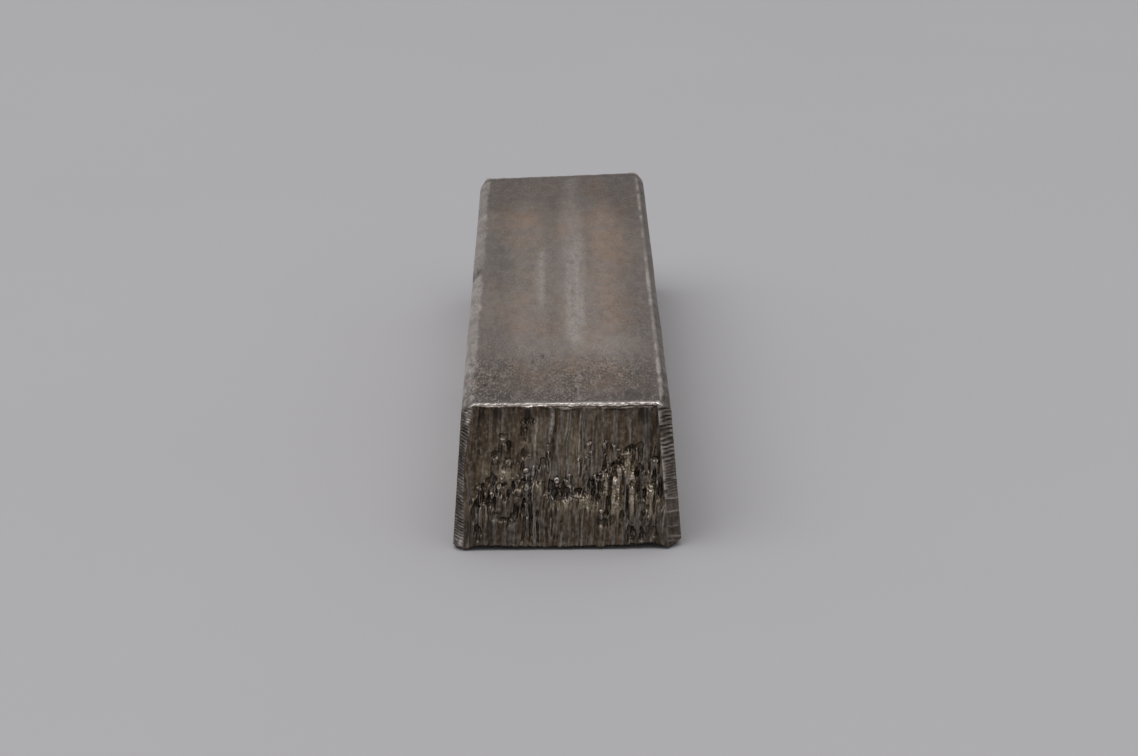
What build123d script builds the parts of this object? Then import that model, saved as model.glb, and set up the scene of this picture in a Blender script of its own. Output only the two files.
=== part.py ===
"""Small metal ingot: a tapered bar of fine silver, sheared off at both ends.

The bar lies on its wide base, with +Z up and its length along Y.
The origin is under the middle of the bar, on the base.
The front end, at -Y, is cut square. The rear end, at +Y, is cut askew, so the +X side is the longer.
Each end has a file flat along its two upright corners, and a shallow tear under its top lip.
"""

import os
from math import cos, radians, sin, tan

from build123d import *

# Driving dimensions, in millimetres and degrees
LENGTH = 66.75  # along the middle of the bar
HEIGHT = 12.7
BASE_WIDTH = 18.6
TOP_WIDTH = 16.6  # between the sides, carried up to the top face
SHOULDER_RADIUS = 0.8  # long edges of the top face
FOOT_RADIUS = 0.3  # long edges of the base
REAR_SKEW = 7.0  # turn of the rear cut out of square
LEFT_FLAT = 0.85  # width across the end of the file flats on the -X side
RIGHT_FLAT = 1.1  # width across the end of the file flats on the +X side
FLAT_REACH = 0.7  # how far a file flat runs back along the side
LIP = 0.35  # sound metal above the tear
TEAR_MARGIN = 0.25  # sound metal between the tear and a file flat
TEAR_DEPTH = 0.3
# Heights of the ragged foot of the tear, at even steps across the end
TEAR_LINE = (4.2, 5.6, 4.4, 5.9, 5.2, 4.6, 4.8, 4.6, 6.6, 8.3, 6.0, 6.8, 4.3)

# The bar is centred between the front face and the furthest corner of the rear face
rear_slope = tan(radians(REAR_SKEW))
rear_reach = (BASE_WIDTH / 2 - RIGHT_FLAT) * rear_slope
front_y = -(LENGTH + rear_reach) / 2
rear_y = front_y + LENGTH

# Planes of the two cuts: x runs across the end, y up and z out of the bar
front_cut = Plane((0, front_y, 0), x_dir=(1, 0, 0), z_dir=(0, -1, 0))
rear_out = Vector(-sin(radians(REAR_SKEW)), cos(radians(REAR_SKEW)), 0)
rear_cut = Plane((0, rear_y, 0), x_dir=rear_out.rotate(Axis.Z, 90), z_dir=rear_out)


def half_width(height):
    """Half the bar's width between its sloping sides, at a height above the base."""
    return (BASE_WIDTH + (TOP_WIDTH - BASE_WIDTH) * height / HEIGHT) / 2


def tear_outline(left_inset, right_inset):
    """Draws the outline of a tear: lip and sloping sides as straight lines, with a ragged foot."""
    top = HEIGHT - LIP
    left = left_inset - half_width(TEAR_LINE[0])
    right = half_width(TEAR_LINE[-1]) - right_inset
    step = (right - left) / (len(TEAR_LINE) - 1)
    foot = [(left + n * step, height) for n, height in enumerate(TEAR_LINE)]
    lip = [(half_width(top) - right_inset, top), (left_inset - half_width(top), top)]
    Polyline(*foot, *lip, close=True)


with BuildPart() as ingot:
    # Tapered blank, one width longer than the bar, with the askew cut made across it
    with BuildSketch(front_cut):
        with BuildLine():
            Polyline(
                (-BASE_WIDTH / 2, 0),
                (BASE_WIDTH / 2, 0),
                (TOP_WIDTH / 2, HEIGHT),
                (-TOP_WIDTH / 2, HEIGHT),
                close=True,
            )
        make_face()
    extrude(amount=-(LENGTH + BASE_WIDTH))
    split(bisect_by=rear_cut, keep=Keep.BOTTOM)

    # File flats along the upright corners of both ends
    for cut, place in ((front_cut, 0), (rear_cut, -1)):
        for corner, across in ((0, LEFT_FLAT), (-1, RIGHT_FLAT)):
            end_face = faces().filter_by(cut).sort_by(Axis.Y)[place]
            upright = end_face.edges().sort_by(Axis.X)[corner]
            chamfer(upright, across, FLAT_REACH, reference=end_face)

    # Rounded shoulders and feet along the bar
    fillet(edges().filter_by(Axis.Y).group_by(Axis.Z)[-1], SHOULDER_RADIUS)
    fillet(edges().filter_by(Axis.Y).group_by(Axis.Z)[0], FOOT_RADIUS)

    # Tears in both ends; seen from outside, the rear end has the +X side on its left
    left_inset = LEFT_FLAT + TEAR_MARGIN
    right_inset = RIGHT_FLAT + TEAR_MARGIN
    for cut, insets in (
        (front_cut, (left_inset, right_inset)),
        (rear_cut, (right_inset, left_inset)),
    ):
        with BuildSketch(cut):
            with BuildLine():
                tear_outline(*insets)
            make_face()
        extrude(amount=-TEAR_DEPTH, mode=Mode.SUBTRACT)

ingot.part.label = "ingot"

os.makedirs("parts", exist_ok=True)
export_step(ingot.part, "parts/ingot.step")
print("volume", round(ingot.part.volume), "mm3, faces", len(ingot.faces()))
print("box", ingot.part.bounding_box())
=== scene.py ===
"""Metal ingot: a small bar of toned silver with torn, sheared ends, on a plain grey floor.

Lengths are in millimetres up to the point where a mesh or an object is made, and MM turns them into metres.
An end is described as it is seen from outside: across to the right, up, and out of the bar.
Masks run from 0 to 1. The mesh keeps them as point attributes, and the material turns them into colours.
"""

from functools import reduce
from math import atan2, cos, pi, radians, sin, tan

import bpy
import numpy as np
from mathutils import Matrix, Vector


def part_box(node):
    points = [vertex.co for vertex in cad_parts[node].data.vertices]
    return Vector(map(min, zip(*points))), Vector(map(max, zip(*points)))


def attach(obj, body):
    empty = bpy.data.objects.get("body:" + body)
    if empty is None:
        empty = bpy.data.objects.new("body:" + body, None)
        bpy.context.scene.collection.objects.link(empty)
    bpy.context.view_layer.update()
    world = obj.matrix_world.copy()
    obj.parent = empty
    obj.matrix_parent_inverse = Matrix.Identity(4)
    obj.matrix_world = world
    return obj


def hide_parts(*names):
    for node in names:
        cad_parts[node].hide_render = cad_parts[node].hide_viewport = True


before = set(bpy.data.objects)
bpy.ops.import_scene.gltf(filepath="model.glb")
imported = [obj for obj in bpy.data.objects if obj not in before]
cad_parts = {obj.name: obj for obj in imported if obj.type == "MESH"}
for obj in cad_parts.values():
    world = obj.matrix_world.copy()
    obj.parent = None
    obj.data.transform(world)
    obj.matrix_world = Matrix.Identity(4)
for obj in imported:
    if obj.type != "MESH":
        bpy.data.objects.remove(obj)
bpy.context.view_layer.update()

MM = 0.001

# Sizes of the bar, as in the solid
low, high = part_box("ingot")
HEIGHT = (high.z - low.z) / MM
FRONT_Y = low.y / MM
LENGTH = 66.75  # along the middle of the bar
REAR_Y = FRONT_Y + LENGTH
REAR_SKEW = radians(7.0)
BASE_WIDTH = 18.6
TOP_WIDTH = 16.6
SHOULDER_RADIUS = 0.8
FOOT_RADIUS = 0.3
LEFT_FLAT = 0.85
RIGHT_FLAT = 1.1
FLAT_REACH = 0.7
TEAR_DEPTH = 0.3
TEAR_LINE = (4.2, 5.6, 4.4, 5.9, 5.2, 4.6, 4.8, 4.6, 6.6, 8.3, 6.0, 6.8, 4.3)

# Finer sizes, for the mesh alone
TEAR_INSETS = (1.1, 1.3)  # of the ends of the tear's foot from the bar's sides
LEAN = 0.07  # lean of the drag lines, across for each step up
LIP_REACH = 0.55  # how far the lip's rounding runs back along the top
ROLL_REACH = 2.4  # how far the rolled foot of an end runs back along the base
SHOULDER_CUT = 0.95  # how far the shoulders are cut back at the ends, measured along side and top together
LEFT_FOOT_CUT, RIGHT_FOOT_CUT = 0.35, 0.7  # the same for the feet
REAR_CUT = 0.4  # share of these cuts that the rear end has
BODY_INSET = 2.8  # from an end to the first even ring of the body
MARK_DEPTH = 0.11  # of the file marks
# Share of its width that the left-hand flat has: heights, then shares
LEFT_SHARES = ((0, 2.8, 5, 7.8, 9.5, 11.4), (1.06, 0.9, 0.7, 0.6, 0.77, 1.0))
# The rolled foot at an end's face: shares of the way across, then heights
FOOT_LINE = (
    (0, 0.05, 0.15, 0.3, 0.5, 0.65, 0.8, 0.93, 1),
    (0.18, 0.4, 0.38, 0.32, 0.27, 0.31, 0.4, 0.52, 0.2),
)
# Heights of the steps in the right-hand file flat of an end, whose edges have a painted highlight
FLAT_STEPS = (0.55, 1.05, 1.9, 3.2, 4.4, 6.15, 9.2, 10.85, 11.6, 12.35)

# Counts
ARC_STEPS = 32  # points round a corner of the section
RUN_COUNTS = (34, 90, 34, 20)  # vertices up the left side of a body ring, over, down and back
BODY_RINGS = 84
SLITS = 110
SMALL_TONGUES = 60

# The map for baking, a square: where the unrolled sides and top, the base and the two ends are on it, and their scale
MAP_SIDE = 81.0
CHARTS = {
    "body": ((0.7, 2.0), 1.0),
    "base": ((44.4, 31.5), 0.55),
    "front": ((62.3, 4.0), 1.7),
    "rear": ((68.2, 32.5), 1.05),
}
COLLAR_WIDTH = 1.0  # of the ring round an end, on the map

# Tongues of torn metal on the front end: across, top, width, length, rise
FRONT_TONGUES = (
    (4.1, 7.2, 0.75, 4.4, 0.34), (3.25, 6.5, 0.42, 2.2, 0.3), (4.95, 8.45, 0.6, 1.8, 0.3),
    (7, 7.7, 0.6, 1.7, 0.28), (5.25, 5.55, 0.55, 3, 0.32), (6.75, 5.6, 0.62, 3.4, 0.3),
    (2.95, 6.85, 0.3, 0.8, 0.26), (-0.82, 5.95, 0.28, 0.7, 0.24), (-6.05, 4.9, 0.4, 0.7, 0.26),
    (-5.2, 5.6, 0.9, 2.8, 0.2), (-6.75, 4, 0.9, 2.4, 0.2), (-3.3, 5.5, 0.45, 1.2, 0.24),
    (-5.7, 7.9, 0.4, 0.9, 0.2), (-4.65, 7.5, 0.36, 0.8, 0.2), (-4.9, 9.15, 0.5, 1.1, 0.18),
    (-3.3, 11, 0.3, 1.3, 0.2), (3.1, 9.2, 0.3, 1.1, 0.18), (1.75, 9.1, 0.34, 0.8, 0.14),
    (0.95, 7.65, 0.34, 0.9, 0.16), (-1.6, 4.5, 0.35, 1, 0.16), (0.1, 4.55, 0.6, 1.2, 0.18),
    (1.35, 4.6, 0.75, 1.4, 0.2),
)
# Ridges dragged up the front end, lighter along their crests as a painted highlight: across, width, low, high,
# strength
FRONT_STREAKS = (
    (-6.07, 0.12, 7.5, 12.2, 0.5), (-2.63, 0.25, 4, 11.5, 0.8), (-1.26, 0.34, 8.2, 12.3, 0.75),
    (-1.45, 0.15, 4.5, 8.5, 0.6), (0, 0.1, 9.2, 12, 0.7), (0.22, 0.08, 9, 11.9, 0.7), (1.05, 0.12, 6, 12, 0.9),
    (2.05, 0.1, 7, 11.5, 0.6), (2.8, 0.1, 6.5, 9.5, 0.7), (3.68, 0.25, 9, 12.2, 0.5),
    (5.08, 0.16, 8.5, 11.8, 0.6), (-2.75, 0.22, 0.6, 4.2, 0.6), (0.9, 0.1, 0.5, 3.2, 0.5),
    (1.2, 0.1, 0.5, 3.2, 0.5), (2, 0.1, 0.5, 3, 0.4), (7.75, 0.09, 1.4, 4.2, 1),
)
# Hollows torn in the front end: across, up, half width, half height
FRONT_HOLLOWS = (
    (-7.5, 3.4, 0.15, 0.45), (-7.25, 4.1, 0.22, 0.35), (-7.2, 1.7, 0.24, 0.5), (-6.85, 5, 0.25, 0.55),
    (-6.1, 4.25, 0.4, 0.4), (-6, 5.85, 0.3, 0.6), (-5.85, 3.1, 0.25, 0.25), (-5.75, 8.3, 0.3, 0.18),
    (-5.25, 2.75, 0.28, 0.14), (-5.1, 5.65, 0.22, 0.1), (-5, 7.05, 0.16, 0.18), (-4.95, 9.8, 0.32, 0.18),
    (-4.65, 9.1, 0.2, 0.22), (-4.5, 2.85, 0.22, 0.4), (-4.3, 5.6, 0.18, 0.28), (-4.15, 3.4, 0.14, 0.4),
    (-3.55, 7.3, 0.16, 0.35), (-3.5, 3.9, 0.1, 0.5), (-3.4, 5.8, 0.4, 0.2), (-3.35, 8.35, 0.22, 0.3),
    (-3.35, 9.5, 0.12, 0.15), (-3, 4.3, 0.12, 0.8), (-2.9, 2.3, 0.13, 0.9), (-2.9, 11.1, 0.28, 0.18),
    (-2.4, 1.9, 0.1, 1.3), (-1.9, 7.6, 0.18, 0.28), (-1.3, 5.4, 0.25, 0.5), (-0.75, 4.9, 0.38, 0.32),
    (-0.25, 5.2, 0.2, 0.5), (0.1, 5, 0.28, 0.3), (0.9, 5.05, 0.42, 0.18), (1.95, 5.3, 0.3, 0.75),
    (2.45, 4.7, 0.18, 0.3), (2.7, 5.6, 0.28, 0.6), (2.9, 2.4, 0.4, 0.28), (3.1, 3.1, 0.2, 0.2),
    (3.3, 4.2, 0.12, 0.35), (3.75, 5.75, 0.12, 0.16), (3.8, 7, 0.2, 0.45), (4.3, 7.6, 0.35, 0.2),
    (4.4, 2.9, 0.2, 0.42), (4.85, 3.9, 0.08, 0.9), (5.1, 1.6, 0.32, 0.55), (5.2, 8.65, 0.32, 0.28),
    (5.25, 5.2, 0.18, 0.22), (5.85, 6.3, 0.32, 1), (5.9, 8.7, 0.2, 0.45), (6, 1.4, 0.2, 0.4),
    (6, 3, 0.16, 0.22), (6, 4.85, 0.38, 0.4), (6.4, 3.7, 0.13, 0.16), (7, 1.6, 0.26, 0.5), (7, 6.4, 0.2, 0.75),
    (7.3, 8.6, 0.22, 0.6), (7.5, 5.3, 0.28, 0.85), (7.8, 4.5, 0.2, 0.16),
)
# Beads and curls thrown up on the front end: across, up, half width, half height, brightness of their painted
# highlight
FRONT_CURLS = (
    (-7.3, 3.2, 0.14, 0.6, 0.35), (-7.2, 4.6, 0.09, 0.22, 0.8), (-7, 5.25, 0.25, 0.2, 0.35),
    (-6.9, 4, 0.25, 0.12, 0.35), (-6.8, 8.4, 0.16, 0.24, 0.3), (-6.05, 4.85, 0.19, 0.14, 0.9),
    (-5.7, 7.75, 0.32, 0.28, 0.5), (-5.5, 5.3, 0.15, 0.3, 0.4), (-5.5, 3.5, 0.22, 0.26, 0.35),
    (-5.05, 9.45, 0.26, 0.09, 0.7), (-4.8, 8.7, 0.16, 0.36, 0.45), (-4.65, 7.45, 0.27, 0.27, 0.55),
    (-4.6, 7.05, 0.09, 0.09, 1), (-3.9, 5, 0.5, 0.28, 0.45), (-3.4, 10.95, 0.18, 0.1, 0.6),
    (-3.3, 10.3, 0.1, 0.16, 0.9), (-3.3, 6.75, 0.28, 0.2, 0.5), (-3.25, 5.4, 0.28, 0.24, 0.5),
    (-3.05, 8.1, 0.18, 0.1, 0.5), (-2.8, 6.05, 0.16, 0.15, 0.7), (-2.6, 10.95, 0.16, 0.12, 0.4),
    (-2.1, 5, 0.1, 0.4, 0.35), (-1.55, 4.75, 0.1, 0.32, 0.6), (-1.55, 6.9, 0.14, 0.35, 0.4),
    (-1.4, 8, 0.16, 0.45, 0.4), (-1.35, 9.2, 0.1, 0.3, 0.5), (-0.82, 5.9, 0.22, 0.22, 0.9),
    (-0.3, 4.5, 0.32, 0.09, 0.8), (0.2, 5.4, 0.22, 0.14, 0.5), (0.95, 4.62, 0.5, 0.15, 0.8),
    (0.95, 7.7, 0.28, 0.07, 0.5), (1.85, 9.1, 0.18, 0.12, 0.4), (1.95, 8.25, 0.2, 0.16, 0.5),
    (2.25, 5.1, 0.11, 0.14, 0.8), (2.4, 5.6, 0.09, 0.22, 0.7), (2.75, 3.3, 0.2, 0.16, 0.6),
    (2.8, 6.4, 0.26, 0.14, 0.7), (2.9, 5, 0.08, 0.28, 0.7), (3.05, 6.85, 0.16, 0.16, 0.6),
    (3.08, 8.85, 0.07, 0.32, 0.6), (3.15, 5.6, 0.17, 0.45, 0.5), (3.22, 9.2, 0.13, 0.13, 0.7),
    (3.75, 5.8, 0.28, 0.5, 0.45), (4.1, 4.1, 0.07, 0.45, 0.6), (4.15, 8.5, 0.17, 0.1, 0.6),
    (4.3, 6.95, 0.36, 0.2, 0.9), (4.4, 6.1, 0.1, 0.6, 0.6), (4.45, 5.2, 0.1, 0.35, 0.55),
    (4.85, 8.3, 0.32, 0.13, 0.8), (5.2, 0.9, 0.22, 0.08, 0.4), (5.25, 5.2, 0.32, 0.38, 0.45),
    (6, 4.15, 0.35, 0.12, 0.4), (6.05, 5.3, 0.1, 0.1, 0.5), (6.4, 2.3, 0.16, 0.28, 0.35),
    (6.7, 7.3, 0.12, 0.4, 0.5), (6.75, 5.5, 0.22, 0.18, 0.7), (7.05, 7.65, 0.32, 0.11, 0.6),
)
# Golden patches on the front end: across, up, their spread along each, strength
FRONT_GOLD = (
    (-6.7, 2.8, 0.4, 0.9, 0.25), (-6.6, 6.8, 0.35, 0.9, 0.3), (-5, 6.6, 0.55, 0.7, 0.6),
    (-3.2, 9.2, 0.3, 0.4, 0.35), (-2.3, 9.8, 0.4, 1.2, 0.3), (-2.3, 5.6, 0.45, 0.7, 0.35),
    (-0.9, 3.9, 0.6, 0.35, 0.45), (0, 3.9, 0.5, 0.4, 0.7), (0.6, 8.5, 0.9, 2.5, 0.25), (1.4, 4, 0.8, 0.7, 0.7),
    (2.2, 3.8, 0.4, 0.6, 0.45), (3.2, 5.6, 0.4, 0.9, 0.9), (3.9, 4.8, 0.5, 1.8, 1), (4.4, 6.8, 0.5, 0.4, 1),
    (4.9, 7.7, 0.4, 0.6, 0.7), (5.2, 4.4, 0.4, 1.2, 0.7), (5.2, 6.6, 0.3, 1, 0.8), (6.7, 5.2, 0.35, 0.6, 0.9),
    (6.8, 4, 0.45, 1, 0.5),
)
# Painted shade under the lip of the front end: across, up, their spread along each, strength
FRONT_LIP_SHADE = (
    (-6.65, 11.6, 0.48, 0.9, 0.8), (-5.65, 11.7, 0.48, 0.8, 0.72), (-4.6, 11.9, 0.4, 0.6, 0.5),
    (-3, 11.6, 0.48, 0.8, 0.8), (-2, 12, 0.3, 0.5, 0.45), (0.6, 12, 0.5, 0.4, 0.3), (4.6, 11.9, 0.6, 0.6, 0.45),
    (6.2, 11.6, 0.7, 1, 0.72), (6.5, 9.8, 0.35, 1.2, 0.5), (7.1, 11, 0.3, 1.3, 0.7),
)
# The same for the rear end, which the photograph doesn't show
REAR_STREAKS = (
    (-4.2, 0.3, 7, 12, 0.8), (-1.1, 0.15, 6.5, 11, 0.7), (3.4, 0.25, 7.5, 12, 0.8),
)
REAR_HOLLOWS = (
    (-6.3, 5.6, 0.35, 0.7), (-4.2, 4.6, 0.3, 0.35), (-2.2, 6.3, 0.25, 0.8), (-1.4, 4.4, 0.45, 0.25),
    (0.9, 5, 0.25, 0.6), (3.2, 5.7, 0.3, 0.8), (4.9, 4.4, 0.35, 0.3), (5.6, 6.1, 0.25, 0.7),
)
REAR_CURLS = (
    (-5.7, 6.4, 0.35, 0.18, 0.6), (-3.1, 7.6, 0.25, 0.2, 0.6), (-0.4, 5.4, 0.45, 0.16, 0.6),
    (2.3, 6.9, 0.28, 0.2, 0.6), (4.4, 5.2, 0.35, 0.16, 0.6), (6.2, 7.3, 0.25, 0.18, 0.6),
)
REAR_GOLD = (
    (-3, 5, 2, 1.5, 0.5), (3.5, 5.5, 1.8, 1.2, 0.6),
)
# Painted shade under the rear lip
REAR_LIP_SHADE = (
    (-5.5, 11.7, 0.8, 0.7, 0.5), (5, 11.7, 1.2, 0.7, 0.5),
)
REAR_TONGUES = (
    (-5.6, 6.4, 0.8, 2.8, 0.26), (-3.1, 7.6, 0.55, 1.9, 0.24), (-0.4, 5.4, 0.9, 2.4, 0.22),
    (2.3, 6.9, 0.6, 2.6, 0.26), (4.4, 5.2, 0.75, 2, 0.22), (6.2, 7.3, 0.5, 1.6, 0.22),
)
# Brown stains on the top: x, y, and their spread along each
STAINS = (
    (5.2, 6, 1.8, 7), (-4.7, 18.5, 2, 6), (-4.9, -29.8, 2, 2.6), (2.8, -27.6, 2.4, 3.6), (6.4, 19, 1.5, 6),
    (3.3, 27, 1.2, 4), (-4.6, 14, 1.6, 7), (3.8, 13, 1.6, 8), (-4.5, -12, 1, 4), (5.2, -12, 1.5, 5),
    (-2, -28, 3, 2),
)
# Pits in the top near the front: x, y, and their spread along each
PITS = (
    (-7.4, -27.1, 0.22, 0.35), (-6.5, -29.5, 0.16, 0.3), (-7, -30.6, 0.12, 0.22), (-5.8, -27.8, 0.14, 0.25),
    (-7.7, -24.8, 0.15, 0.3), (-2.7, -24.2, 0.1, 0.5), (-1.9, -22.6, 0.1, 0.4), (0.7, -30.9, 0.12, 0.25),
    (4.9, -31.6, 0.14, 0.25),
)


def smooth_step(value):
    """Rises smoothly from 0 to 1 as value goes from 0 to 1."""
    value = np.clip(value, 0, 1)
    return value * value * (3 - 2 * value)


def rising(value, start, span):
    """0 up to a start, then a smooth rise to 1 over a span."""
    return smooth_step((value - start) / span)


def falling(value, stop, span):
    """1 up to a span before a stop, then a smooth fall to 0."""
    return smooth_step((stop - value) / span)


def unit(value):
    """The value, kept from 0 to 1."""
    return np.clip(value, 0, 1)


def most(*fields):
    """The greatest of some fields, place by place."""
    return reduce(np.maximum, fields)


def bell(*offsets):
    """A bell curve: 1 where all offsets are 0, and next to nothing where one of them is over 2."""
    return np.exp(-sum(offset**2 for offset in offsets))


def noise(u, v, seed):
    """Smooth noise from -1 to 1, with a fresh value at every whole number of u and v."""
    cells = 256
    values = np.random.default_rng(seed).uniform(-1, 1, (cells, cells))
    u, v = np.broadcast_arrays(u, v)
    column, row = np.floor(u).astype(int), np.floor(v).astype(int)
    right, above = smooth_step(u - column), smooth_step(v - row)

    def level(row):
        here, beside = (values[place % cells, row % cells] for place in (column, column + 1))
        return here * (1 - right) + beside * right

    return level(row) * (1 - above) + level(row + 1) * above


def blurred(field, passes, axes=(0, 1)):
    """The field with each value spread over its neighbours along some axes, several times."""
    for _ in range(passes):
        for axis in axes:
            wide = np.pad(field, [(1, 1) if n == axis else (0, 0) for n in (0, 1)], mode="edge")
            ahead, behind = (wide[2:], wide[:-2]) if axis == 0 else (wide[:, 2:], wide[:, :-2])
            field = field / 2 + (ahead + behind) / 4
    return field


def patches(spots, across, up):
    """Soft patches on an end, from a list of (across, up, their spread along each, strength)."""
    total = np.zeros_like(up)
    for at, height, wide, tall, strength in spots:
        total = most(total, strength * bell((across - at) / wide, (up - height) / tall))
    return total


def half_width(height):
    """Half the bar's width between its sloping sides, at a height above the base."""
    return (BASE_WIDTH + (TOP_WIDTH - BASE_WIDTH) * height / HEIGHT) / 2


def make_outline():
    """The bar's section: runs of points up the left side, over, down and back, from mid corner to mid corner."""
    corners = [
        (-BASE_WIDTH / 2, 0, FOOT_RADIUS),
        (-TOP_WIDTH / 2, HEIGHT, SHOULDER_RADIUS),
        (TOP_WIDTH / 2, HEIGHT, SHOULDER_RADIUS),
        (BASE_WIDTH / 2, 0, FOOT_RADIUS),
    ]
    arcs = []
    for n, (x, z, radius) in enumerate(corners):
        corner = Vector((x, z))
        before = (Vector(corners[n - 1][:2]) - corner).normalized()
        after = (Vector(corners[(n + 1) % 4][:2]) - corner).normalized()
        middle = (before + after).normalized()
        centre = corner + middle * radius / sin(before.angle(after) / 2)
        turn = pi - before.angle(after)
        start = atan2(-middle.y, -middle.x) + turn / 2
        angles = start - np.linspace(0, turn, ARC_STEPS + 1)
        arcs.append(np.stack([centre.x + radius * np.cos(angles), centre.y + radius * np.sin(angles)], 1))
    half = ARC_STEPS // 2
    return [np.concatenate([arcs[n][half:], arcs[(n + 1) % 4][: half + 1]]) for n in range(4)]


OUTLINE = make_outline()
RUN_LENGTHS = [float(np.hypot(*np.diff(run, axis=0).T).sum()) for run in OUTLINE]


def outline(t):
    """Points (x, z) and outward normals of the section, where t is 0 at the left foot, 1 at the left shoulder..."""
    t = np.asarray(t, float)
    points = np.zeros((*t.shape, 2))
    normals = np.zeros((*t.shape, 2))
    for n, run in enumerate(OUTLINE):
        here = (t % 4 >= n) & (t % 4 < n + 1)
        steps = np.hypot(*np.diff(run, axis=0).T)
        along = np.concatenate([[0], np.cumsum(steps)])
        place = (t[here] % 4 - n) * along[-1]
        slope = np.gradient(run, along, axis=0)
        for axis in (0, 1):
            points[here, axis] = np.interp(place, along, run[:, axis])
        normals[here, 0] = -np.interp(place, along, slope[:, 1])
        normals[here, 1] = np.interp(place, along, slope[:, 0])
    return points, normals / np.linalg.norm(normals, axis=-1, keepdims=True)


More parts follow.
